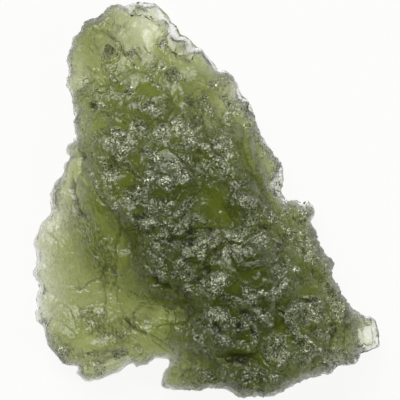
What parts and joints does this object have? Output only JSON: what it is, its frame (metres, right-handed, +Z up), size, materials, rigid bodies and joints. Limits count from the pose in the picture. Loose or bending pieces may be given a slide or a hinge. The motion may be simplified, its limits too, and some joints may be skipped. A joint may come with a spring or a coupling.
{
  "type": "moldavite",
  "caption": "Raw moldavite: a flat, jagged flake of see-through bottle-green natural glass, etched on its thick body and clear on its thin flange.",
  "frame": {"origin": "centre of the outline's box, on the surface that the stone lies on", "axes": "+Y along the stone's length, towards its narrow end; +Z up from its resting spot"},
  "size_m": [0.0278, 0.0318, 0.0097],
  "materials": {
    "glass": "see-through green glass, etched and frosted on the body, clear on the flange"
  },
  "bodies": {
    "root": {"moldavite": "glass"}
  },
  "joints": []
}
